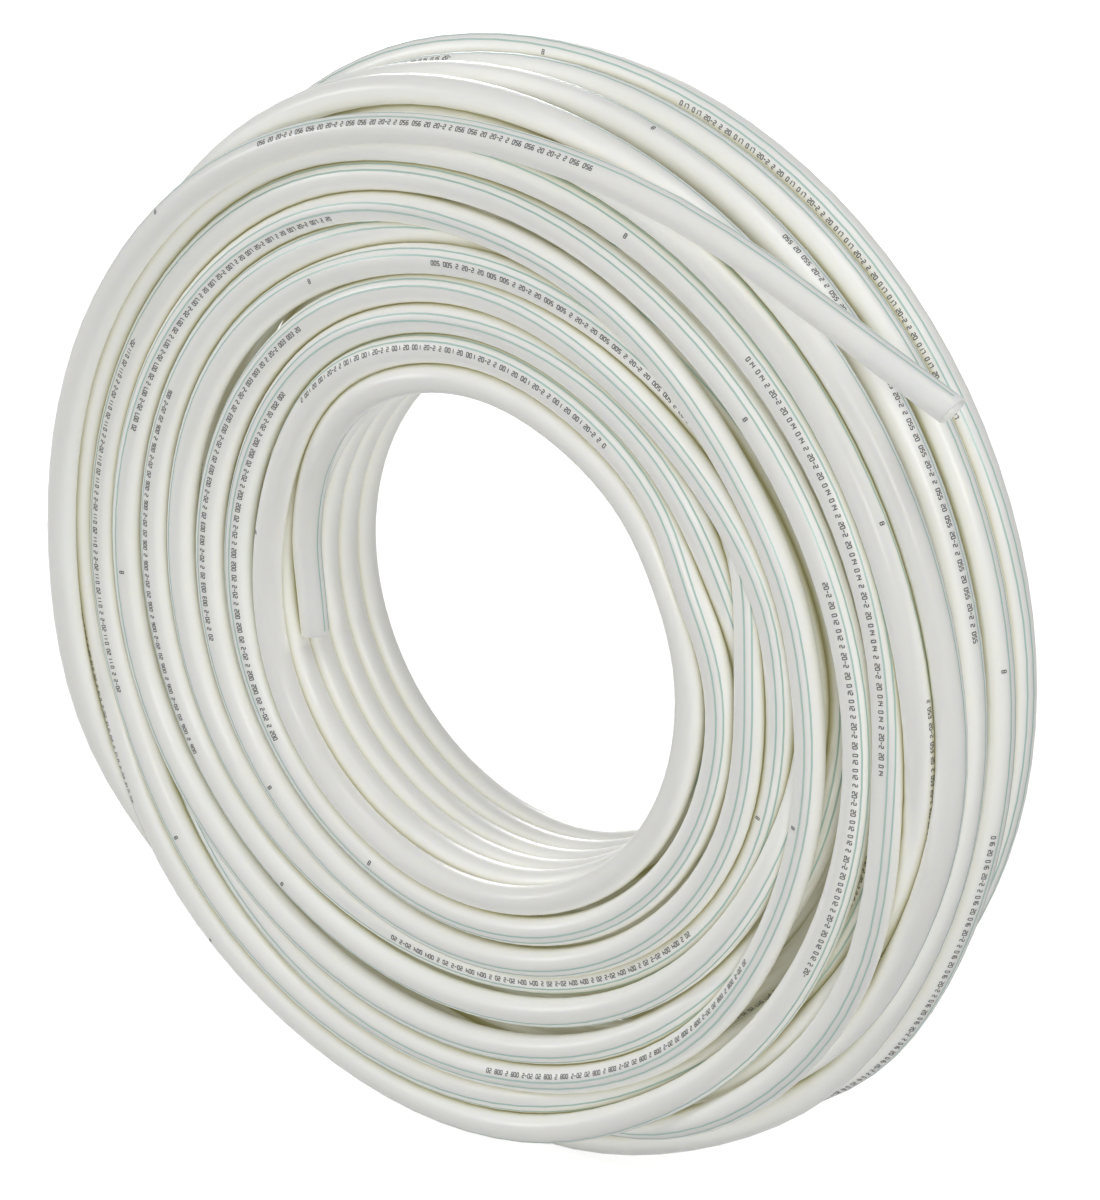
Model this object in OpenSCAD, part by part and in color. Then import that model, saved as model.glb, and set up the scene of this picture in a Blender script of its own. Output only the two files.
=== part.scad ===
// Coil of plastic water pipe, standing on its rim.
// The coil's axis runs along Y and its front face looks to -Y.
// The origin lies on the floor, under the middle of the coil.
// A clock angle starts at the top and grows clockwise, seen from the front.
// One pipe winds along the coil's outside, and the turns inside are one plain core.

/* [Pipe] */
// Outer diameter of the pipe
pipe_d = 20; // [15:0.5:22]
// Thickness of the pipe's wall
pipe_wall = 2; // [1:0.1:3]

/* [Coil] */
// Diameter of the open middle of the coil
bore_d = 330; // [290:2:400]
// Turns side by side on a face, from the middle to the rim
lanes = 9; // [5:1:9]
// Turns side by side on the rim, from front to back
rows = 5; // [4:1:5]
// Space between two turns on a face
lane_gap = 3.75; // [1.25:0.25:6.25]
// Space between two turns on the rim and in the middle
row_gap = 2.8; // [1.2:0.1:5]
// Clock angle at which every turn starts to step over to its next place
step_angle = 335; // [325:1:345]
// Angle that a turn takes to step over
step_span = 82; // [60:1:85]

/* [Inner end] */
// Clock angle of the cut at the inner end
inner_cut_angle = 254; // [246:1:258]
// How far the inner end stands in from the turns of the middle
inner_cut_in = 12.5; // [8:0.5:16]
// Angle by which the inner end turns in from the run of the turns
inner_turn_in = 10; // [7:1:14]
// Straight length of the inner end
inner_len = 30; // [20:1:35]

/* [Outer end] */
// Clock angle of the cut at the outer end
outer_cut_angle = 57.5; // [56:0.5:60]
// How far the outer end stands out from the outermost turn
outer_cut_out = 91; // [82:1:100]
// Angle by which the outer end turns out from the run of the turns
outer_turn_out = 34; // [28:1:38]
// Straight length of the outer end
outer_len = 60; // [25:1:62]
// Space between the tail and the turns that it crosses
tail_gap = 0.6; // [0.6:0.1:2.5]

/* [Rest] */
// Depth of the flat at the coil's foot
foot_flat = 2; // [0.6:0.1:3]

/* [Hidden] */

// Routes beside the turns, as [clock angle, outward in pipe diameters, share of the tail's lift]
INNER_RUN = [[275, -0.75], [286, -0.75], [298, -0.56], [310, -0.25]];
TAIL_RUN = [[320, -0.06, 0.25], [330, -0.25, 0.75], [340, -0.56, 1], [350, -0.8, 1], [360, -0.92, 1],
    [370, -0.7, 1], [380, -0.3, 1], [390, 0.38, 1], [400, 1.43, 1], [405, 2.12, 1]];

turn_sides = 6;
tail_sides = 12;
ring_angle = 15;
first_ring = 7.5;
round_fn = 64;
clear = 0.3;
core_bevel = 0.625 * pipe_d;
lead_bend_r = 6.25 * pipe_d;
lead_sink = 1.25 * pipe_d;

pipe_r = pipe_d / 2;
flat_r = pipe_r * cos(180 / turn_sides);
lane_step = pipe_d + lane_gap;
row_step = pipe_d + row_gap;
across = lanes - 1;
along = rows - 1;
lane_in = bore_d / 2 + pipe_r;
lane_out = lane_in + across * lane_step;
half_run = along * row_step / 2;
step_at = step_angle - 360;

// Where two turns pass a corner of the coil together, both swell out from it by this much
corner_swell = row_step * (sqrt(1 / 2) - 1 / 2);
corners = [0, across + along, 2 * across + along];

// The flat chord of the rim's lowest facets, cut in by the foot's depth
rest_h = (lane_out + flat_r) * cos(ring_angle / 2) - foot_flat;

core_in = lane_in + flat_r + clear;
core_out = (lane_out - flat_r) * cos(ring_angle / 2) - clear;
core_half = half_run - flat_r - clear;

// The pipe comes out of the core at the rim, and goes back into it in the middle
lead_join = 67.5;
lead_r = lane_out - lead_sink;
lead_bend = acos((lead_r - lead_bend_r) / (lane_out - lead_bend_r));
lead_angle = lead_join - lead_bend;
exit_angle = 187.5;
exit_len = sqrt(pow(core_in + core_bevel, 2) - pow(lane_in - pipe_r, 2));

function clamp(v, low, high) = min(max(v, low), high);
function smooth(t) = t * t * (3 - 2 * t);
function unit(v) = v / norm(v);
function out_way(a) = [sin(a), 0, cos(a)];
function run_way(a) = [cos(a), 0, -sin(a)];

// Place of a turn: 0 to across on the front, then the rim, the back and the middle
function place(a) =
    let (turn = (a - step_at) / 360, n = floor(turn))
    n - 1 + smooth(min(1, (turn - n) * 360 / step_span));
function swell(p) =
    let (u = min([for (c = corners) abs(p - c)]))
    u < 1 ? 4 * u * (1 - u) * corner_swell : 0;
function place_side(p) =
    p < 0 ? 180 : p < across ? -90 : p < across + along ? 0 : p < 2 * across + along ? 90 : 180;
function place_r(p) =
    lane_in + lane_step * (clamp(p, 0, across) - clamp(p - across - along, 0, across));
function place_y(p) =
    -half_run + row_step * (clamp(p - across, 0, along) - clamp(p - 2 * across - along, 0, along)
        - clamp(p, -1, 0));
function place_facing(p) =
    -180 + 45 * (clamp(p + 1, 0, 2) + clamp(p - across + 1, 0, 2)
        + clamp(p - across - along + 1, 0, 2) + clamp(p - 2 * across - along + 1, 0, 2));

// A station is a point of the pipe, the way that it runs there and the way that it faces
function turn_point(a) =
    let (p = place(a), side = place_side(p))
    (place_r(p) + swell(p) * cos(side)) * out_way(a) + [0, place_y(p) + swell(p) * sin(side), 0];
function turn_station(a) =
    let (f = place_facing(place(a)))
    [turn_point(a), unit(turn_point(a + 1) - turn_point(a - 1)), cos(f) * out_way(a) + [0, sin(f), 0]];
function turn_stations(from, to) = [for (a = [from : ring_angle : to + 0.01]) turn_station(a)];
function free_stations(points, first_way, last_way, facings) =
    let (last = len(points) - 1)
    [for (i = [0 : last]) [
        points[i],
        i == 0 ? first_way : i == last ? last_way : unit(points[i + 1] - points[i - 1]),
        facings[i]]];

function ring(station, sides) =
    let (way = station[1],
        up = unit(station[2] - (station[2] * way) * way),
        side = cross(way, up))
    [for (k = [0 : sides - 1])
        let (a = (k + 0.5) * 360 / sides,
            p = station[0] + pipe_r * (cos(a) * up + sin(a) * side))
        [p[0], p[1], max(p[2], -rest_h)]];

// One unbroken tube of triangles through a list of stations
module tube(stations, sides) {
    last = len(stations) - 1;
    points = [for (s = stations) each ring(s, sides)];
    walls = [for (i = [0 : last - 1], k = [0 : sides - 1])
        let (a = i * sides + k,
            b = i * sides + (k + 1) % sides,
            c = a + sides,
            d = b + sides)
        each [[a, c, b], [b, c, d]]];
    caps = [for (k = [1 : sides - 2])
        each [[0, k, k + 1], [last * sides, last * sides + k + 1, last * sides + k]]];
    polyhedron(points = points, faces = concat(walls, caps), convexity = 10);
}

// A straight, cut end of the pipe, with its true bore
module cut_end(start, way_angle, length) {
    translate(start)
        rotate([0, way_angle, 0])
            difference() {
                cylinder(h = length, r = pipe_r, $fn = round_fn);
                translate([0, 0, -1])
                    cylinder(h = length + 2, r = pipe_r - pipe_wall, $fn = round_fn);
            }
}

module on_floor() {
    translate([0, 0, rest_h]) children();
}

// First and last rings of the turns in each node
front_last = 360 * across + first_ring + 20 * ring_angle;
rim_first = 360 * (across + 1) + lead_join;
rim_last = 360 * (across + along) + first_ring + 21 * ring_angle;
back_last = 360 * (2 * across + along) + first_ring + 21 * ring_angle;
bore_last = 360 * (2 * across + 2 * along - 1) + exit_angle;

// The inner end and its free run along the middle
inner_way_angle = inner_cut_angle + 90 + inner_turn_in;
inner_way = out_way(inner_way_angle);
inner_cut = (lane_in - inner_cut_in) * out_way(inner_cut_angle) + [0, place_y(-1), 0];
inner_seat = inner_cut + inner_len * inner_way;
inner_first = first_ring - 3 * ring_angle;
inner_points = concat([inner_seat],
    [for (p = INNER_RUN) (lane_in + p[1] * pipe_d) * out_way(p[0]) + [0, place_y(-1), 0]],
    [turn_point(inner_first)]);
inner_stations = free_stations(inner_points, inner_way, run_way(inner_first),
    [for (p = inner_points) -unit([p[0], 0, p[2]])]);
front_stations = concat(inner_stations, turn_stations(inner_first + ring_angle, front_last));

// The tail rises off its turn, crosses the turns beside it and runs on to the outer end
tail_lift = pipe_d + tail_gap;
outer_way_angle = outer_cut_angle + 90 - outer_turn_out;
outer_way = out_way(outer_way_angle);
outer_cut = (lane_out + outer_cut_out) * out_way(outer_cut_angle)
    - [0, half_run + tail_lift, 0];
outer_seat = outer_cut - outer_len * outer_way;
tail_points = concat([turn_point(front_last)],
    [for (p = TAIL_RUN) (lane_out + p[1] * pipe_d) * out_way(p[0]) - [0, half_run + p[2] * tail_lift, 0]],
    [outer_seat]);
tail_stations = free_stations(tail_points, run_way(front_last), outer_way,
    [for (p = tail_points) [0, -1, 0]]);

// Where the pipe leaves the core at the rim
lead_start = lead_r * out_way(lead_angle) + [0, place_y(across + 1), 0];
lead_centre = (lane_out - lead_bend_r) * out_way(lead_join) + [0, place_y(across + 1), 0];
lead_stations = concat(
    [[lead_start, run_way(lead_angle), out_way(lead_angle)]],
    [for (i = [0 : 2])
        let (a = lead_angle + lead_bend * i / 3)
        [lead_centre + lead_bend_r * out_way(a), run_way(a), out_way(a)]]);

// Where it goes back into the core in the middle
exit_start = turn_point(bore_last);
exit_end = exit_start + exit_len * run_way(exit_angle);

module inner_end() {
    color([0.90, 0.91, 0.89])
        on_floor()
            cut_end(inner_cut, inner_way_angle, inner_len);
}

module front_turns() {
    color([0.88, 0.89, 0.87])
        on_floor()
            tube(front_stations, turn_sides);
}

module rim_turns() {
    color([0.82, 0.84, 0.81])
        on_floor()
            tube(concat(lead_stations, turn_stations(rim_first, rim_last)), turn_sides);
}

module back_turns() {
    color([0.86, 0.87, 0.85])
        on_floor()
            tube(turn_stations(rim_last, back_last), turn_sides);
}

module bore_turns() {
    color([0.80, 0.82, 0.79])
        on_floor()
            tube(concat(turn_stations(back_last, bore_last),
                [[exit_end, run_way(exit_angle), turn_station(bore_last)[2]]]), turn_sides);
}

// The hidden turns as one ring, with a slot and a hole for the two leads
module core_turns() {
    color([0.62, 0.65, 0.58])
        on_floor()
            difference() {
                rotate([-90, 0, 0])
                    rotate_extrude($fn = 4 * round_fn)
                        polygon([
                            [core_in, -core_half + core_bevel], [core_in + core_bevel, -core_half],
                            [core_out - core_bevel, -core_half], [core_out, -core_half + core_bevel],
                            [core_out, core_half - core_bevel], [core_out - core_bevel, core_half],
                            [core_in + core_bevel, core_half], [core_in, core_half - core_bevel]]);
                translate([0, place_y(across + 1), 0])
                    rotate([0, lead_angle, 0])
                        translate([0, -pipe_r - clear, lead_r - flat_r - clear])
                            cube([core_out, pipe_d + 2 * clear, lead_sink + pipe_d]);
                translate(exit_start)
                    rotate([0, exit_angle + 90, 0])
                        cylinder(h = exit_len, r = pipe_r + clear, $fn = round_fn);
            }
}

module outer_tail() {
    color([0.84, 0.86, 0.85])
        on_floor()
            tube(tail_stations, tail_sides);
}

module outer_end() {
    color([0.90, 0.91, 0.89])
        on_floor()
            cut_end(outer_seat, outer_way_angle, outer_len);
}

// Least gap of the pipe to itself: turns at one clock angle, and the free runs against the turns
check_angle = 5;
front_checks = [for (a = [inner_first : check_angle : front_last]) turn_point(a)];
other_checks = [for (a = [rim_first : check_angle : bore_last]) turn_point(a)];
loop_checks = 360 / check_angle;
function least(list) = min([for (v = list) v]);
function loops_gap(list) =
    least([for (i = [0 : len(list) - 1 - loop_checks], j = [i + loop_checks : loop_checks : len(list) - 1])
        norm(list[i] - list[j])]);
function lists_gap(one, other) = least([for (p = one) least([for (q = other) norm(p - q)])]);
function between(list) =
    [for (i = [0 : len(list) - 2], t = [0 : 0.25 : 0.99]) list[i] * (1 - t) + list[i + 1] * t];
tail_checks = between([for (i = [1 : len(tail_points) - 1]) tail_points[i]]);
under_tail = [for (i = [0 : len(front_checks) - 1 - 30]) front_checks[i]];
inner_checks = between(inner_points);
past_inner = [for (i = [60 : len(front_checks) - 1]) front_checks[i]];
exit_checks = between([exit_start, exit_end]);
lead_checks = between([for (s = lead_stations) s[0]]);
before_exit = [for (i = [0 : len(other_checks) - 1 - 30]) other_checks[i]];
past_lead = [for (i = [30 : len(other_checks) - 1]) other_checks[i]];
echo(least_gap = least([
    loops_gap(front_checks), loops_gap(other_checks), lists_gap(front_checks, other_checks),
    lists_gap(tail_checks, under_tail), lists_gap(tail_checks, other_checks),
    lists_gap(inner_checks, past_inner), lists_gap(inner_checks, other_checks),
    lists_gap(exit_checks, before_exit), lists_gap(exit_checks, front_checks),
    lists_gap(lead_checks, past_lead), lists_gap(lead_checks, front_checks)]) - pipe_d);

inner_end();
front_turns();
rim_turns();
back_turns();
bore_turns();
core_turns();
outer_tail();
outer_end();
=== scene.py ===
import math
import random

import bmesh
import bpy
import numpy as np
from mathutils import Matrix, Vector


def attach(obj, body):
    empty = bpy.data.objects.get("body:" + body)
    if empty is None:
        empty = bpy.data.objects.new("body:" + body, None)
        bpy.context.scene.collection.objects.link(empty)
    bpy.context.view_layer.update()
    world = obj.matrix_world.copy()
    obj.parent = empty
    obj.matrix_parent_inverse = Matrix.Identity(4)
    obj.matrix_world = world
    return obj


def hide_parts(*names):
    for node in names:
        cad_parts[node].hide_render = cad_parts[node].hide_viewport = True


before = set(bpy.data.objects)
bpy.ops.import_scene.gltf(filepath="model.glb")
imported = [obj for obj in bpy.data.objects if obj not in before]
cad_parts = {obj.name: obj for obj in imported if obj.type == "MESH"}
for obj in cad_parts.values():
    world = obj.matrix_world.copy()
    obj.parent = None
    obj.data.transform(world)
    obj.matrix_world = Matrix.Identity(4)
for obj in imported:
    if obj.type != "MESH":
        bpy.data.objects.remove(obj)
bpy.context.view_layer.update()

# Sizes are in millimetres, unless a name or comment says otherwise, and angles in degrees.
# A clock angle starts at the top and grows clockwise, seen from the front, the side at -Y.
# A radius is measured from the coil's axis, and a depth from its middle towards the back.
MM = 0.001
PIPE_R = 10.0
PIPE_WALL = 2.0
COIL_R = 375.0
RIM_R = COIL_R - PIPE_R
# Height of the coil's axis above the floor
REST_H = 368.464
# Depths of the front face, the turns behind it, the back face and the free tail
FRONT_Y = -45.6
SECOND_Y = -24.0
BACK_Y = 45.6
TAIL_Y = -66.2
# The tube is made of rings, and each ring of points
RINGS_PER_TURN = 96
RING_ANGLE = 360 / RINGS_PER_TURN
SIDES = 24
# Farther off than any turn, for a turn that isn't there
FAR_OFF = 1e4
# The two straight ends: the cut, the way that the pipe runs from it into the coil, and the length
INNER_END = ((-156.205, -22.8, 323.672), (-0.104528, 0, 0.994522), 30.0)
OUTER_END = ((384.586, TAIL_Y, 613.472), (-0.91706, 0, 0.398749), 60.0)
# A straight end has one ring for each stretch of this length, or part of one, and goes over into the
# coil in this many steps
END_STRETCH = 12
BLEND_STEPS = 5

# ---------------------------------------------------------------- route of the pipe
# The clock angle is counted on from turn to turn, from the inner end outwards.
# Each point is (clock angle, radius, depth), or (clock angle, radius) for laps on the front face.
INNER_STUB = [
    (-106, 162.5, -22.8), (-95.4, 160.2, -23), (-85, 160, -25), (-74, 160, -28), (-62, 164, -33),
    (-50, 170, -39), (-37, 176, -44), (-25, 179, FRONT_Y),
]
FIRST_LAPS = [
    (0, 180), (30, 178), (60, 180), (90, 180), (120, 183), (150, 184), (180, 186), (210, 186),
    (240, 184), (270, 177), (300, 179), (330, 198), (360, 197), (390, 198), (420, 201), (450, 205),
    (480, 207), (510, 207), (540, 206), (570, 206), (600, 206), (630, 204), (660, 206), (690, 215),
    (720, 216), (750, 216), (780, 220),
]
FIRST_DIVE = [
    (800, 221, -38), (820, 222, SECOND_Y), (960, 222, SECOND_Y), (1120, 228, -26), (1140, 229, -40),
]
SECOND_LAPS = [
    (1155, 229), (1170, 230), (1200, 230), (1230, 229), (1260, 229), (1290, 232), (1320, 232),
    (1350, 231), (1380, 231), (1410, 232), (1440, 236), (1470, 236), (1490, 240),
]
SECOND_DIVE = [
    (1520, 246, -38), (1545, 248, -35), (1590, 243, -34), (1620, 244, -34), (1650, 254, -40),
]
THIRD_LAP = [(1665, 257), (1680, 259), (1710, 257), (1740, 259), (1800, 259), (1830, 254)]
THIRD_DIVE = [(1850, 254, -34), (1870, 256, SECOND_Y), (1895, 259, -32)]
FOURTH_LAP = [
    (1915, 262), (1950, 263), (1980, 266), (2010, 274), (2040, 283), (2070, 283), (2100, 281),
    (2130, 275), (2150, 269),
]
FOURTH_DIVE = [(2175, 266, -32), (2195, 267, -18), (2255, 274, -14), (2280, 281, -26)]
FIFTH_LAPS = [
    (2300, 286), (2340, 296), (2370, 304), (2400, 312), (2430, 311), (2460, 304), (2490, 294),
    (2520, 281), (2550, 267), (2580, 266), (2610, 272), (2640, 284), (2670, 307), (2700, 322),
    (2730, 324),
]
FIFTH_DIVE = [
    (2755, 324, -36), (2780, 322, SECOND_Y), (2880, 318, SECOND_Y), (3020, 330, SECOND_Y),
    (3040, 336, -34),
]
SIXTH_LAPS = [
    (3060, 340), (3090, 345), (3120, 341), (3150, 334), (3180, 324), (3210, 319), (3240, 306),
    (3270, 297), (3300, 302), (3330, 311), (3360, 317), (3390, 333), (3420, 355), (3450, 364),
    (3470, 364), (3490, 356), (3510, 347), (3540, 339), (3570, 334), (3600, 325), (3630, 325),
    (3660, 330), (3690, 341), (3720, 354), (3745, 355),
]
# Under the crossing and out to the two back rows of the rim
RIM_ROWS = [
    (3765, 350, -36), (3785, 346, SECOND_Y), (3830, 344, -10), (3860, 345, 2), (3890, 348, 10),
    (3910, 354, 18), (3930, 360, 27), (3950, 364, 34), (3960, 365, 35), (3990, 365, 34),
    (4020, 365, 32), (4042, 365, 30.5), (4065, 365, 30), (4080, 366, 35), (4090, 368, 42),
    (4105, 369, 46), (4125, 365, 46), (4140, 358, BACK_Y), (4170, 362, BACK_Y), (4200, 364, BACK_Y),
    (4260, 366, BACK_Y), (4290, 370, 48), (4320, 372, 51), (4345, 373, 51.6), (4370, 372, 51.6),
    (4395, 369, 51), (4410, 367.5, 50.5), (4425, 366, 50.5), (4440, 355, 51), (4450, 350, 49),
    (4460, 348.5, 43), (4480, 346, 36), (4500, 343, 32), (4520, 345, 31), (4580, 347, 30),
    (4620, 350, 36), (4650, 352, 44), (4680, 351, 46),
]
# Inwards over the back face, with each lane a little deeper than the one outside it
BACK_START, BACK_LANES, BACK_STEP, BACK_SPREAD = 4655, 8, 23.1, 1.1
BORE_LANE_R = RIM_R - BACK_STEP * BACK_LANES
BORE_DEEPEST = BACK_Y + BACK_SPREAD * BACK_LANES
# Forwards through the open middle
BORE_START, BORE_ROWS, BORE_STEP = BACK_START + 360 * BACK_LANES, 4, 20.0
# Outwards through the hidden turns, from one point that leads to them, at two depths by turns
CORE_START, CORE_TURNS, CORE_FIRST_R, CORE_STEP = BORE_START + 360 * BORE_ROWS, 8, 196, 16.5
CORE_LEAD = (CORE_START + 40, BORE_LANE_R + 14, -6)
CORE_EVEN_FROM = CORE_START + 120
CORE_DEPTHS = (2, 18)
# How far a turn has stepped over to its next place, at clock angles after its start
STEP_SHAPE = ((0, 0), (20, 0.156), (41, 0.5), (62, 0.844), (82, 1), (150, 1), (230, 1), (300, 1))
# The last turns before the tail, as (clock angle within the turn, radius, depth)
LAST_LAPS = [
    (200, 330, 18), (260, 328, 16), (300, 334, 8), (330, 345, 12), (350, 352, 15), (80, 352, 15),
    (110, 348, 14), (140, 336, 16), (170, 330, 18), (215, 332, 8), (250, 332, -8), (300, 338, -20),
    (330, 343, -32), (350, 346, -42), (0, 346, FRONT_Y), (30, 348, FRONT_Y), (60, 352, FRONT_Y),
    (90, 354, FRONT_Y), (103, 352, -42), (120, 346, -30), (150, 332, -20), (200, 322, -18),
    (250, 326, -20), (300, 344, -26), (322, 358, -36), (340, 364, -44), (0, 364, FRONT_Y),
    (30, 366, -41), (60, 367, -35), (75, 367, -36), (90, 367, -39), (110, 363, -37), (125, 356, -29),
    (140, 347, -16), (155, 344, -6), (200, 345, 4), (225, 356, 4), (250, 364, 3), (300, 365, 0),
    (340, 365, -1), (0, 365, -1), (30, 365, 0), (60, 365, -1), (90, 365, -2), (110, 365, -2),
    (125, 366, -4), (140, 367, -12), (155, 366, -20), (180, 358, -25), (205, 364, -25), (225, 370, -30),
    (237, 370, -42), (250, 364, -56), (262, 355, -63), (280, 351, -65.5), (300, 348, -66),
    (320, 346, -66), (330, 344.5, TAIL_Y),
]
# The free tail over the turns, as (clock angle within the turn, radius)
TAIL = [
    (-21, 344), (-14, 343), (-7, 344.4), (0, 346), (6.2, 349), (12.3, 352), (18, 356), (23.6, 362.7),
    (28.9, 370), (33.8, 379), (38.5, 390), (43, 402), (47.3, 414), (51, 427.6), (54.7, 443.4),
    (57.5, 456.3),
]
# Where the double line lies on the pipe, as (clock angle, angle round the pipe from the front outwards)
LINE_TURN = [
    (-106, -98), (-60, -102), (0, -150), (120, -220), (250, -280), (360, -309), (390, -309),
    (450, -328), (510, -338), (720, -346), (750, -320), (780, -317), (1200, -330), (1500, -330),
    (1700, -325), (1960, -314), (2150, -325), (2400, -335), (2520, -352), (2560, -332), (2610, -331),
    (2650, -351), (3000, -340), (3060, -335), (3240, -314), (3340, -297), (3600, -299), (3660, -298),
    (3700, -318), (3750, -328), (3940, -270), (4150, -270), (4290, -300), (4335, -310), (4375, -310),
    (4400, -290), (4650, -285), (5000, -220), (7000, -200), (8000, -300), (8300, -355), (8560, -355),
    (9000, -300), (12300, -256), (12322, -236), (12350, -236), (12364, -254), (12720, -250),
    (13140, -250), (13280, -291), (13330, -287), (13380, -262),
]


def laps(points, depth):
    """Points that all lie at one depth."""
    return [(clock, radius, depth) for clock, radius in points]


def stepped(start, turns, radius, depth, by_radius, by_depth):
    """Turns that each step over by the same amount, on the same stretch of the clock."""
    return [
        (start + 360 * n + clock, radius + by_radius * (n + share), depth + by_depth * (n + share))
        for n in range(turns)
        for clock, share in STEP_SHAPE
    ]


def core_turns():
    """The hidden turns, which work outwards through the middle of the coil."""
    out = [CORE_LEAD]
    for quarter in range(4 * (CORE_TURNS - 1) + 1):
        depth = CORE_DEPTHS[quarter // 4 % 2]
        out.append((CORE_EVEN_FROM + 90 * quarter, CORE_FIRST_R + CORE_STEP * quarter / 4, depth))
    return out


def on_later_turns(clock, points):
    """Points that are written on the clock of one turn, placed on the turns after a clock angle."""
    out = []
    for within, radius, depth in points:
        clock = within + 360 * math.floor((clock - within) / 360 + 1)
        out.append((clock, radius, depth))
    return out


def smoothed(values, times):
    """Values of which each has moved towards its two neighbours, a number of times."""
    for _ in range(times):
        values[1:-1] = (values[:-2] + 2 * values[1:-1] + values[2:]) / 4
    return values


# How often the chosen route is evened out, and how far before it last passes the top the tail begins
EVENED, TAIL_BEFORE = 12, 105


def chosen_route():
    """The clock angle and the radius and depth of each ring, and which rings are in the tail."""
    # The rim's rows end within the first step of the back lanes, which goes without its first points
    points = (
        INNER_STUB + laps(FIRST_LAPS, FRONT_Y) + FIRST_DIVE + laps(SECOND_LAPS, FRONT_Y) + SECOND_DIVE
        + laps(THIRD_LAP, FRONT_Y) + THIRD_DIVE + laps(FOURTH_LAP, FRONT_Y) + FOURTH_DIVE
        + laps(FIFTH_LAPS, FRONT_Y) + FIFTH_DIVE + laps(SIXTH_LAPS, FRONT_Y) + RIM_ROWS
        + stepped(BACK_START, BACK_LANES, RIM_R, BACK_Y, -BACK_STEP, BACK_SPREAD)[3:]
        + stepped(BORE_START, BORE_ROWS, BORE_LANE_R, BORE_DEEPEST, 0, -BORE_STEP)
        + core_turns()
    )
    points += on_later_turns(points[-1][0], LAST_LAPS)
    tail_turn = 360 * math.ceil(points[-1][0] / 360)
    points += laps([(tail_turn + clock, radius) for clock, radius in TAIL], TAIL_Y)
    points = np.array(points, float)
    first = math.ceil(points[0, 0] / RING_ANGLE)
    clock = np.arange(first, math.floor(points[-1, 0] / RING_ANGLE) + 1) * RING_ANGLE
    place = np.stack([np.interp(clock, points[:, 0], points[:, k]) for k in (1, 2)], axis=1)
    return clock, smoothed(place, EVENED), clock > tail_turn - TAIL_BEFORE


# How firmly a turn keeps its chosen place, by where it lies
HIDDEN_HOLD, SIDE_HOLD, FRONT_HOLD, TAIL_HOLD, INNER_END_HOLD = 0.02, 0.15, 0.25, 0.6, 0.8
# Beyond this depth a turn is on a face, within this far of the rim's radius it is on the rim, within
# this radius it is in the open middle, and before this clock angle it is at the inner end
FACE_DEPTH, RIM_BAND, MIDDLE_R, INNER_END_TO = 40, 6, 190, -80


def firmness(clock, place, in_tail):
    """How firmly each point is held to its place: what shows most, most."""
    radius, depth = place.T
    firm = np.full(len(clock), HIDDEN_HOLD)
    firm[depth < -FACE_DEPTH] = FRONT_HOLD
    firm[np.abs(radius - RIM_R) < RIM_BAND] = SIDE_HOLD
    firm[depth > FACE_DEPTH] = SIDE_HOLD
    firm[radius < MIDDLE_R] = SIDE_HOLD
    firm[in_tail] = TAIL_HOLD
    firm[clock < INNER_END_TO] = INNER_END_HOLD
    return firm[:, None]


def apart(place, least):
    """How each point moves so that no two turns at one clock angle lie closer than least."""
    turns = math.ceil(len(place) / RINGS_PER_TURN)
    grid = np.full((turns * RINGS_PER_TURN, 2), np.nan)
    grid[: len(place)] = place
    grid = grid.reshape(turns, RINGS_PER_TURN, 2)
    between = grid[:, None] - grid[None]
    far = np.sqrt((between**2).sum(-1))
    far[np.isnan(far)] = FAR_OFF
    far[np.arange(turns), np.arange(turns)] = FAR_OFF
    push = np.clip(least - far, 0, None) / 2 / np.maximum(far, 1e-6)
    move = np.nansum(between * push[..., None], axis=1)
    return move.reshape(-1, 2)[: len(place)]


# Rounds of settling, and how many of the last ones let go of the chosen places
SETTLING_ROUNDS, LOOSE_ROUNDS = 300, 40
# Space that two turns keep between them
TURN_GAP = 0.25
# How far the turns may leave the front face, the back face and, within OUTER_LANES_R, the deepest lane
FRONT_PLAY, BACK_PLAY, MIDDLE_PLAY, OUTER_LANES_R = 16, 6, 1, 300
# Shares of each wanted move that one round makes: apart and to the straight, in the first rounds and
# in the loose ones, back to the chosen place, and to an even curve
FIRST_SHARES, LOOSE_SHARES = (0.7, 0.3), (0.9, 0.15)
BACK_SHARE, EVEN_SHARE = 0.5, 0.5


def settled(clock, chosen, in_tail):
    """Lets the turns of the chosen route settle beside and on each other."""
    firm = firmness(clock, chosen, in_tail)
    coiled = ~in_tail
    # The radius at which a turn meets the floor, which is beyond every turn away from the foot
    floor_r = (REST_H - PIPE_R) / np.maximum(np.cos(np.radians(clock) - math.pi), 0.2)
    place = chosen.copy()
    for k in range(SETTLING_ROUNDS):
        loose = k >= SETTLING_ROUNDS - LOOSE_ROUNDS
        push, straighten = LOOSE_SHARES if loose else FIRST_SHARES
        place = place + apart(place, 2 * PIPE_R + TURN_GAP) * push
        if not loose:
            place += (chosen - place) * firm * BACK_SHARE
        even = (-place[:-4] + 4 * place[1:-3] + 4 * place[3:-1] - place[4:]) / 6
        place[2:-2] += EVEN_SHARE * (even - place[2:-2])
        middle = (place[:-2] + place[2:]) / 2 - place[1:-1]
        place[1:-1] += straighten * middle * (1 - firm[1:-1])
        deepest = np.where(place[:, 0] > OUTER_LANES_R, BACK_Y + BACK_PLAY, BORE_DEEPEST + MIDDLE_PLAY)
        place[coiled, 1] = np.clip(place[coiled, 1], FRONT_Y - FRONT_PLAY, deepest[coiled])
        low = (place[:, 0] > floor_r) & coiled
        place[low, 0] = floor_r[low]
    return place


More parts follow.
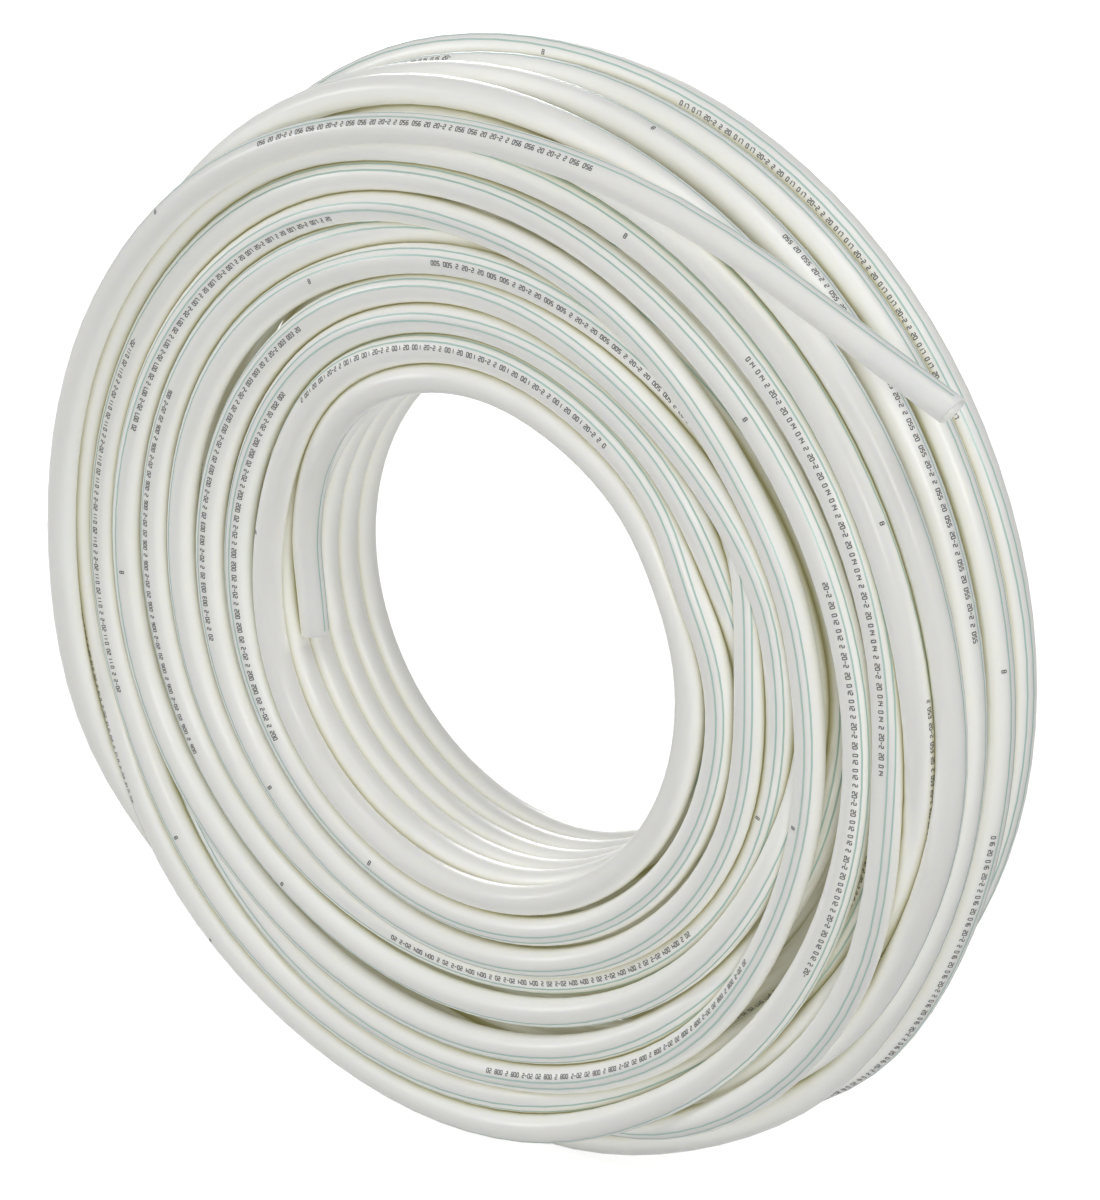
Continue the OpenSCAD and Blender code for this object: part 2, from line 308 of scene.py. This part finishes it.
def with_straight_ends(points):
    """Lays the first and the last points evenly on the straight ends, which finish at the two cuts."""
    for (cut, way, length), order in ((INNER_END, 1), (OUTER_END, -1)):
        line = points[::order]
        cut, way = np.array(cut), np.array(way)
        count = math.ceil(length / END_STRETCH)
        line[:count] = cut + way * np.linspace(0, length, count)[:, None]
        last = count - 1
        seat, beyond = line[last].copy(), line[last + BLEND_STEPS].copy()
        reach = np.linalg.norm(beyond - seat)
        onward = line[last + BLEND_STEPS + 1] - beyond
        onward *= reach / np.linalg.norm(onward)
        for k in range(1, BLEND_STEPS):
            t = k / BLEND_STEPS
            line[last + k] = (
                (2 * t**3 - 3 * t**2 + 1) * seat + (t**3 - 2 * t**2 + t) * reach * way
                + (3 * t**2 - 2 * t**3) * beyond + (t**3 - t**2) * onward
            )
    return points


class Pipe:
    """The centreline of the pipe, in metres, with the way that it runs, its front and its outside."""

    def __init__(self):
        self.clock, chosen, in_tail = chosen_route()
        # The radius and depth of each ring, which stay in millimetres
        self.place = settled(self.clock, chosen, in_tail)
        turn = np.radians(self.clock)
        radius, depth = self.place.T
        points = np.stack([radius * np.sin(turn), depth, radius * np.cos(turn) + REST_H], axis=1)
        self.points = MM * with_straight_ends(points)
        way = np.gradient(self.points, axis=0)
        self.way = way / np.linalg.norm(way, axis=1)[:, None]
        front = np.array([0.0, -1.0, 0.0]) - self.way * -self.way[:, 1:2]
        self.front = front / np.linalg.norm(front, axis=1)[:, None]
        self.out = np.cross(self.front, self.way)
        steps = np.linalg.norm(np.diff(self.points, axis=0), axis=1)
        self.along = np.concatenate([[0], np.cumsum(steps)])
        self.length = self.along[-1]
        angles = np.array(LINE_TURN, float)
        self.line = np.interp(self.clock, angles[:, 0], angles[:, 1])

    def at_clock(self, clock):
        """The length along the pipe at a clock angle."""
        return float(np.interp(clock, self.clock, self.along))

    def at(self, along, values):
        """What a list with one entry for each ring gives at lengths along the pipe."""
        return np.stack([np.interp(along, self.along, values[:, k]) for k in range(3)], axis=-1)

    def on_surface(self, along, angle, radius):
        """Points on the pipe at lengths along it, at angles in degrees from the front outwards."""
        angle = np.radians(angle)[..., None]
        side = self.at(along, self.front) * np.cos(angle) + self.at(along, self.out) * np.sin(angle)
        return self.at(along, self.points) + radius * side

    def line_at(self, along):
        """The angle round the pipe at which the double line lies, at lengths along the pipe."""
        return np.interp(along, self.along, self.line)


# Rays in the plane across the turns, in degrees from the way that the surface faces
LOOKS = np.arange(-75, 76, 15)
# The gap to the next turn at which the painted crease shade begins, and the one at which it is full
CREASE_FROM, CREASE_TO = 5.5, 0.2


def shelter(pipe, angles):
    """How open each point round each ring is, and how near to the next turn, both from 0 to 1."""
    turns = math.ceil(len(pipe.place) / RINGS_PER_TURN)
    grid = np.full((turns * RINGS_PER_TURN, 2), FAR_OFF)
    grid[: len(pipe.place)] = pipe.place
    rows = np.arange(len(pipe.place))
    others = grid.reshape(turns, RINGS_PER_TURN, 2)[:, rows % RINGS_PER_TURN].transpose(1, 0, 2)
    own = rows // RINGS_PER_TURN
    weight = np.cos(np.radians(LOOKS))
    opened, creased = [], []
    for k in range(angles.shape[1]):
        turn = np.radians(angles[:, k])
        start = pipe.place + PIPE_R * np.stack([np.sin(turn), -np.cos(turn)], axis=1)
        to = others - start[:, None]
        far = np.sqrt((to**2).sum(-1))
        far[rows, own] = FAR_OFF
        gap = far.min(1) - PIPE_R
        creased.append(np.clip((CREASE_FROM - gap) / (CREASE_FROM - CREASE_TO), 0, 1))
        free = 0
        for look, w in zip(LOOKS, weight):
            ray = turn + math.radians(look)
            way = np.stack([np.sin(ray), -np.cos(ray)], axis=1)
            ahead = (to * way[:, None]).sum(-1)
            hit = (ahead > 0) & (far**2 - ahead**2 < PIPE_R**2) & (far < FAR_OFF / 2)
            free = free + w * ~hit.any(1)
        opened.append(free / weight.sum())
    return np.stack(opened, axis=1), np.stack(creased, axis=1)


# ---------------------------------------------------------------- meshes
def new_object(name, data):
    obj = bpy.data.objects.new(name, data)
    bpy.context.scene.collection.objects.link(obj)
    return obj


def mesh_of(name, points, quads):
    mesh = bpy.data.meshes.new(name)
    mesh.from_pydata(points.reshape(-1, 3).tolist(), [], quads)
    mesh.validate()
    mesh.shade_smooth()
    return mesh


# How deep the hollow of a cut end is, and by how many rings
BORE_DEPTH, BORE_RINGS = 60.0, 8
# The cut's rough edge, and how far the outer cut leans
BURR, CUT_SLANT = 0.35, 2.2
# The edges of a cut are broken by this much inside, outside and along the pipe
INNER_LIP, OUTER_LIP, LIP_DEPTH = 0.25, 0.3, 0.4
# Shares of the rough edge at the outer lip, and of the lean at the outer and the inner lip
OUTER_LIP_BURR, OUTER_LIP_SLANT, INNER_LIP_SLANT = 0.6, 0.97, 0.83


def pipe_object(pipe):
    """The pipe as one tube with a hollow, cut end at each end."""
    rnd = random.Random(4)
    angle = -np.arange(SIDES) * 360 / SIDES
    last = pipe.length
    inner_burr, outer_burr = (
        np.array([rnd.uniform(0, BURR) for _ in range(SIDES)]) * MM for _ in range(2)
    )
    slant = CUT_SLANT * MM * np.sin(np.radians(angle + pipe.line_at(last)))

    def ring(along, radius, shift=0.0):
        along = np.full(SIDES, along)
        points = pipe.on_surface(along, angle + pipe.line_at(along), radius * MM)
        return points + (shift * np.ones(SIDES))[:, None] * pipe.at(along, pipe.way)

    inside = PIPE_R - PIPE_WALL
    inner_lip, outer_lip, lip_depth = inside + INNER_LIP, PIPE_R - OUTER_LIP, LIP_DEPTH * MM
    depths = np.linspace(BORE_DEPTH, 0, BORE_RINGS + 1)[:-1] * MM
    rings = [ring(d, inside) for d in depths]
    rings += [
        ring(0, inner_lip, -inner_burr),
        ring(0, outer_lip, -inner_burr * OUTER_LIP_BURR),
        ring(lip_depth, PIPE_R),
    ]
    rings += [ring(s, PIPE_R) for s in pipe.along[1:-1]]
    rings += [
        ring(last - lip_depth, PIPE_R, slant),
        ring(last, outer_lip, slant * OUTER_LIP_SLANT + outer_burr * OUTER_LIP_BURR),
        ring(last, inner_lip, slant * INNER_LIP_SLANT + outer_burr),
    ]
    rings += [ring(last - d, inside) for d in depths[::-1]]
    count = len(rings)
    quads = []
    for i in range(count - 1):
        here, there = i * SIDES, (i + 1) * SIDES
        for j in range(SIDES):
            k = (j + 1) % SIDES
            quads.append((here + j, here + k, there + k, there + j))
    quads += [tuple(reversed(range(SIDES))), tuple((count - 1) * SIDES + j for j in range(SIDES))]
    mesh = mesh_of("pipe", np.array(rings), quads)
    more = (count - len(pipe.along)) // 2
    # The openness and nearness kept on the mesh drive the material's painted shade and painted glow.
    for name, values in zip(("openness", "crease"), shelter(pipe, angle + pipe.line[:, None])):
        ends = values[:1].repeat(more, axis=0), values[-1:].repeat(more, axis=0)
        whole = np.concatenate([ends[0], values, ends[1]]).astype(np.float32)
        mesh.attributes.new(name, "FLOAT", "POINT").data.foreach_set("value", whole.ravel())
    strip_map(mesh, count)
    return new_object("pipe", mesh)


# Strips side by side in the map, the free edge of each as a share of its width, and the ends' place
STRIPS, STRIP_EDGE, ENDS_UV = 32, 0.04, 0.001


def strip_map(mesh, rings):
    """Lays the pipe out as strips side by side, so that a baked map has room for all of it."""
    layer = mesh.uv_layers.new(name="OFBake")
    per = math.ceil((rings - 1) / STRIPS)
    uv = np.full((len(mesh.loops), 2), ENDS_UV)
    for f in range((rings - 1) * SIDES):
        i, j = divmod(f, SIDES)
        strip, place = divmod(i, per)
        left, right = place / per, (place + 1) / per
        across = STRIP_EDGE + (1 - 2 * STRIP_EDGE) * np.array([j, j + 1]) / SIDES
        low, high = (strip + across) / STRIPS
        uv[4 * f : 4 * f + 4] = (left, low), (left, high), (right, high), (right, low)
    layer.uv.foreach_set("vector", uv.astype(np.float32).ravel())


# How far from each cut the lines end, and how high they lie on the pipe
LINE_INSET, LINE_LIFT = 3.0, 0.09
# How far each line lies from the middle of the two, and its width, as angles round the pipe
LINE_SPREAD, LINE_WIDTH = 14.0, 6.6


def teal_lines(pipe):
    """Two thin lines side by side along the whole pipe."""
    inset, radius = LINE_INSET * MM, (PIPE_R + LINE_LIFT) * MM
    along = np.concatenate([[inset], pipe.along[1:-1], [pipe.length - inset]])
    parts, quads = [], []
    for side in (-1, 1):
        middle = pipe.line_at(along) + side * LINE_SPREAD
        edges = [pipe.on_surface(along, middle + e * LINE_WIDTH / 2, radius) for e in (1, -1)]
        start = 2 * len(along) * len(parts)
        parts.append(np.stack(edges, axis=1).reshape(-1, 3))
        for k in range(start, start + 2 * len(along) - 2, 2):
            quads.append((k, k + 1, k + 3, k + 2))
    return new_object("teal_lines", mesh_of("teal_lines", np.concatenate(parts), quads))


# Strokes of plain numerals in a cell 1 wide and 1 high: (x0, y0, x1, y1)
STROKES = {
    "top": (0.0, 1.0, 1.0, 1.0), "middle": (0.0, 0.5, 1.0, 0.5), "bottom": (0.0, 0.0, 1.0, 0.0),
    "upper_left": (0.0, 0.5, 0.0, 1.0), "upper_right": (1.0, 0.5, 1.0, 1.0),
    "lower_left": (0.0, 0.0, 0.0, 0.5), "lower_right": (1.0, 0.0, 1.0, 0.5),
}
NUMERALS = {
    "0": "top bottom upper_left upper_right lower_left lower_right",
    "1": "upper_right lower_right",
    "2": "top upper_right middle lower_left bottom",
    "3": "top upper_right middle lower_right bottom",
    "4": "upper_left upper_right middle lower_right",
    "5": "top upper_left middle lower_right bottom",
    "6": "top upper_left middle lower_left lower_right bottom",
    "7": "top upper_right lower_right",
    "8": "top upper_left upper_right middle lower_left lower_right bottom",
    "9": "top upper_left upper_right middle lower_right bottom",
    "-": "middle",
}
# Along the pipe, in metres: from one marking to the next, a marking, and the numeral before it
MARK_EVERY, MARK_LENGTH, SINGLE_BEFORE = 0.986, 0.278, 0.112
# A numeral's distance to the next, its width, height and stroke, and how high it lies on the pipe
MARK_PITCH, MARK_WIDTH, MARK_HEIGHT, MARK_STROKE, MARK_LIFT = 2.5, 1.6, 2.9, 0.6, 0.1
# Where the markings lie round the pipe, as an angle from the middle of the double line
MARK_ANGLE = -38.0
# Stretches of the pipe, as (first clock angle, last one, that of the middle of one marking)
MARKED = [
    (-100, 800, 356), (1100, 1900, 1605), (1900, 2180, 2067), (2300, 2950, 2472), (2950, 3800, 3335),
    (3800, 4200, 4082), (4200, 12220, 4357), (12220, 12520, 12345), (12760, 13140, 13017),
    (13140, 13380, 13317),
]


def marking_text(number, rnd):
    """The pipe's diameter and wall and the number of the marking, over and over."""
    groups = ["20-2", "20", "2", f"{number:03d}", f"{number:03d}"]
    rnd.shuffle(groups)
    count = round(MARK_LENGTH / MM / MARK_PITCH)
    return ((" ".join(groups) + " ") * count)[:count]


def marked_places(pipe):
    """Where each marking starts, as a length along the pipe."""
    for stretch in MARKED:
        low, high, middle = (pipe.at_clock(clock) for clock in stretch)
        number = math.ceil((low - middle) / MARK_EVERY)
        while middle + number * MARK_EVERY < high:
            start = middle + number * MARK_EVERY - MARK_LENGTH / 2
            if start > low and start + MARK_LENGTH < high:
                yield start
            number += 1


def markings(pipe):
    """Plain numerals along the pipe, about once a metre, with a single numeral before each marking."""
    rnd = random.Random(7)
    corners = []

    def numeral(start, letter):
        half = MARK_STROKE / 2
        for name in NUMERALS.get(letter, "").split():
            x0, y0, x1, y1 = STROKES[name]
            left, right = x0 * MARK_WIDTH, x1 * MARK_WIDTH
            low, high = y0 * MARK_HEIGHT, y1 * MARK_HEIGHT
            if y0 == y1:
                low, high = low - half, low + half
            else:
                left, right = left - half, left + half
            box = ((left, low), (right, low), (right, high), (left, high))
            corners.append([(start + x * MM, y) for x, y in box])

    for number, start in enumerate(marked_places(pipe)):
        for k, letter in enumerate(marking_text(number, rnd)):
            numeral(start + k * MARK_PITCH * MM, letter)
        numeral(start - SINGLE_BEFORE, "8")
    flat = np.array(corners)
    along = flat[..., 0]
    angle = pipe.line_at(along) + MARK_ANGLE + np.degrees((flat[..., 1] - MARK_HEIGHT / 2) / PIPE_R)
    points = pipe.on_surface(along, angle, (PIPE_R + MARK_LIFT) * MM)
    quads = [(4 * i, 4 * i + 1, 4 * i + 2, 4 * i + 3) for i in range(len(flat))]
    return new_object("marking_numerals", mesh_of("marking_numerals", points, quads))


# ---------------------------------------------------------------- materials
# The number of an output of the texture coordinate node, of the attribute node and of the mix node,
# and of the inputs of the mix node
OBJECT_PLACE, ATTRIBUTE_NUMBER, MIX_COLOUR = 3, 2, 2
MIX_FACTOR, MIX_COLOUR_A, MIX_COLOUR_B = 0, 6, 7


class Value:
    """A node's output that takes part in sums with numbers and other outputs."""

    def __init__(self, shader, socket):
        self.shader, self.socket = shader, socket

    def _math(self, kind, a, b):
        return self.shader.node("ShaderNodeMath", {"operation": kind}, {0: a, 1: b})

    def __add__(self, other):
        return self._math("ADD", self, other)

    def __sub__(self, other):
        return self._math("SUBTRACT", self, other)

    def __rsub__(self, other):
        return self._math("SUBTRACT", other, self)

    def __mul__(self, other):
        return self._math("MULTIPLY", self, other)

    def __pow__(self, other):
        return self._math("POWER", self, other)

    __radd__ = __add__
    __rmul__ = __mul__


class Shader:
    """A material, or the world round the object, with its nodes."""

    def __init__(self, name, shelf="materials"):
        self.owner = getattr(bpy.data, shelf).new(name)
        self.owner.use_nodes = True
        self.tree = self.owner.node_tree
        self.tree.nodes.clear()

    def make(self, kind, settings=None, inputs=None):
        node = self.tree.nodes.new(kind)
        for name, value in (settings or {}).items():
            setattr(node, name, value)
        for name, value in (inputs or {}).items():
            if isinstance(value, Value):
                self.tree.links.new(value.socket, node.inputs[name])
            else:
                node.inputs[name].default_value = value
        return node

    def node(self, kind, settings=None, inputs=None, output=0):
        return Value(self, self.make(kind, settings, inputs).outputs[output])

    def surface(self, shader, output="ShaderNodeOutputMaterial"):
        self.make(output, None, {"Surface": shader})
        return self.owner

    def blend(self, factor, a, b):
        """The colour between two others, by a factor from 0 to 1."""
        inputs = {MIX_FACTOR: factor, MIX_COLOUR_A: a, MIX_COLOUR_B: b}
        return self.node("ShaderNodeMix", {"data_type": "RGBA"}, inputs, MIX_COLOUR)

    def noise(self, where, scale, detail):
        inputs = {"Vector": where, "Scale": scale, "Detail": detail}
        return self.node("ShaderNodeTexNoise", None, inputs)


def rgb(*levels):
    """A colour given by its red, green and blue on a screen, from 0 to 255."""
    shares = [level / 255 for level in levels]
    return (*(v / 12.92 if v <= 0.04045 else ((v + 0.055) / 1.055) ** 2.4 for v in shares), 1.0)


def pipe_plastic():
    """Milky, slightly greenish plastic with a soft gloss, with painted shade and a painted glow in the
    hollows and creases between turns.
    """
    s = Shader("milky_pipe_plastic")
    where = s.node("ShaderNodeTexCoord", output=OBJECT_PLACE)
    cloud = s.noise(where, 9.0, 2.0)
    speck = s.noise(where, 340.0, 2.0)
    opened = s.node("ShaderNodeAttribute", {"attribute_name": "openness"}, output=ATTRIBUTE_NUMBER)
    crease = s.node("ShaderNodeAttribute", {"attribute_name": "crease"}, output=ATTRIBUTE_NUMBER)
    hidden = 1.0 - opened
    colour = s.blend(cloud, rgb(237, 237, 233), rgb(242, 242, 239))
    # Painted shade: the colour turns grey-green where other turns hide the surface, and olive in the
    # creases between turns.
    colour = s.blend(0.5 * hidden ** 2.0, colour, rgb(205, 205, 196))
    painted_crease_shade = 0.6 * hidden ** 5.0 + crease * hidden
    colour = s.blend(0.6 * painted_crease_shade, colour, rgb(168, 163, 122))
    # Painted glow: emission stands in for light through the plastic, pale on half-hidden flanks and
    # olive in the creases.
    through = s.blend(painted_crease_shade, rgb(205, 206, 202), rgb(158, 154, 108))
    glow = s.blend(hidden * (1.25 - hidden), (0.0, 0.0, 0.0, 1.0), through)
    bump = s.node("ShaderNodeBump", None, {"Strength": 0.08, "Distance": 0.0004, "Height": speck})
    return s.surface(s.node("ShaderNodeBsdfPrincipled", None, {
        "Base Color": colour, "Roughness": 0.28 + 0.1 * speck, "IOR": 1.4, "Normal": bump,
        "Subsurface Weight": 0.4, "Subsurface Radius": (1.0, 0.9, 0.6), "Subsurface Scale": 0.005,
        "Emission Color": glow, "Emission Strength": 0.67,
    }))


def line_ink():
    s = Shader("teal_line_ink")
    where = s.node("ShaderNodeTexCoord", output=OBJECT_PLACE)
    wear = s.noise(where, 60.0, 3.0)
    colour = s.blend(wear, rgb(172, 204, 195), rgb(188, 213, 206))
    inputs = {"Base Color": colour, "Roughness": 0.3 + 0.08 * wear, "IOR": 1.5}
    return s.surface(s.node("ShaderNodeBsdfPrincipled", None, inputs))


def mark_ink():
    s = Shader("dark_mark_ink")
    where = s.node("ShaderNodeTexCoord", output=OBJECT_PLACE)
    wear = s.noise(where, 500.0, 2.0)
    colour = s.blend(wear, rgb(68, 67, 68), rgb(104, 103, 104))
    inputs = {"Base Color": colour, "Roughness": 0.42 + 0.1 * wear, "IOR": 1.45}
    return s.surface(s.node("ShaderNodeBsdfPrincipled", None, inputs))


def where_seen(s):
    """1 where the camera sees the surroundings, also in a reflection or through glass."""
    path = s.make("ShaderNodeLightPath")
    seen = 0.0
    for ray in ("Is Camera Ray", "Is Glossy Ray", "Is Transmission Ray"):
        seen = Value(s, path.outputs[ray]) + seen
    return seen


WHITE = (1, 1, 1, 1)
# What the floor gives of its own light where the camera sees it, and what it throws back
FLOOR_GLOW, FLOOR_GREY = 0.76, (0.64, 0.64, 0.64, 1)
# Light of the room by itself, and what comes on top where the camera sees it
ROOM_LIGHT, ROOM_SEEN = 0.28, 0.72


def floor_paint():
    """A pale floor that looks white where nothing shades it."""
    s = Shader("pale_floor")
    glow = s.node("ShaderNodeEmission", None, {"Color": WHITE, "Strength": where_seen(s) * FLOOR_GLOW})
    matt = s.node("ShaderNodeBsdfDiffuse", None, {"Color": FLOOR_GREY})
    return s.surface(s.node("ShaderNodeAddShader", None, {0: matt, 1: glow}))


# ---------------------------------------------------------------- stage, light and camera
COIL_MIDDLE = Vector((0, 0, REST_H * MM))
VIEW_AZIMUTH, VIEW_ELEVATION = 38.656, 21.596
# In metres
VIEW_DISTANCE = 8.5 * COIL_R * MM
LAMP_DISTANCE = 4.0
FLOOR_HALF = 20
# Each lamp's name, the way to it from the middle of the coil, its size in metres and its power
LAMPS = [
    ("front_lamp", (0.66, -0.69, 0.30), 0.8, 39.5),
    ("left_lamp", (-0.80, -0.55, 0.24), 0.66, 29),
    ("top_lamp", (0.35, -0.25, 0.90), 2.2, 43),
    ("back_lamp", (-0.60, 0.75, 0.30), 1.4, 56),
]


def aimed(name, data, way, distance):
    """A camera or lamp that looks at the middle of the coil from a way and distance."""
    obj = new_object(name, data)
    obj.location = COIL_MIDDLE + distance * way
    obj.rotation_mode = "QUATERNION"
    obj.rotation_quaternion = (-way).to_track_quat("-Z", "Y")
    return obj


def camera():
    data = bpy.data.cameras.new("camera")
    data.lens, data.sensor_width, data.sensor_fit = 143.56, 36, "AUTO"
    data.shift_x, data.shift_y = 0.0297, 0.0127
    data.clip_start, data.clip_end = 0.05, 100
    a, e = math.radians(VIEW_AZIMUTH), math.radians(VIEW_ELEVATION)
    way = Vector((math.sin(a) * math.cos(e), -math.cos(a) * math.cos(e), math.sin(e)))
    bpy.context.scene.camera = aimed("camera", data, way, VIEW_DISTANCE)


def lights():
    for name, way, size, power in LAMPS:
        data = bpy.data.lights.new(name, "AREA")
        data.shape, data.size, data.energy = "DISK", size, power
        aimed(name, data, Vector(way).normalized(), LAMP_DISTANCE)
    s = Shader("white_room", "worlds")
    strength = ROOM_SEEN * where_seen(s) + ROOM_LIGHT
    room = s.node("ShaderNodeBackground", None, {"Color": WHITE, "Strength": strength})
    bpy.context.scene.world = s.surface(room, "ShaderNodeOutputWorld")


def floor():
    bm = bmesh.new()
    bmesh.ops.create_grid(bm, x_segments=1, y_segments=1, size=FLOOR_HALF)
    mesh = bpy.data.meshes.new("floor")
    bm.to_mesh(mesh)
    bm.free()
    obj = new_object("floor", mesh)
    mesh.materials.append(floor_paint())


# ---------------------------------------------------------------- the part
bpy.context.scene.view_settings.view_transform = "Standard"
camera()
pipe = Pipe()
tube = pipe_object(pipe)
lines = teal_lines(pipe)
marks = markings(pipe)
for obj, material in ((tube, pipe_plastic()), (lines, line_ink()), (marks, mark_ink())):
    obj.data.materials.append(material)
    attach(obj, "root")
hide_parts("inner_end", "front_turns", "rim_turns", "back_turns", "bore_turns", "core_turns",
            "outer_tail", "outer_end")
tuple(pipe.points[0])
floor()
lights()
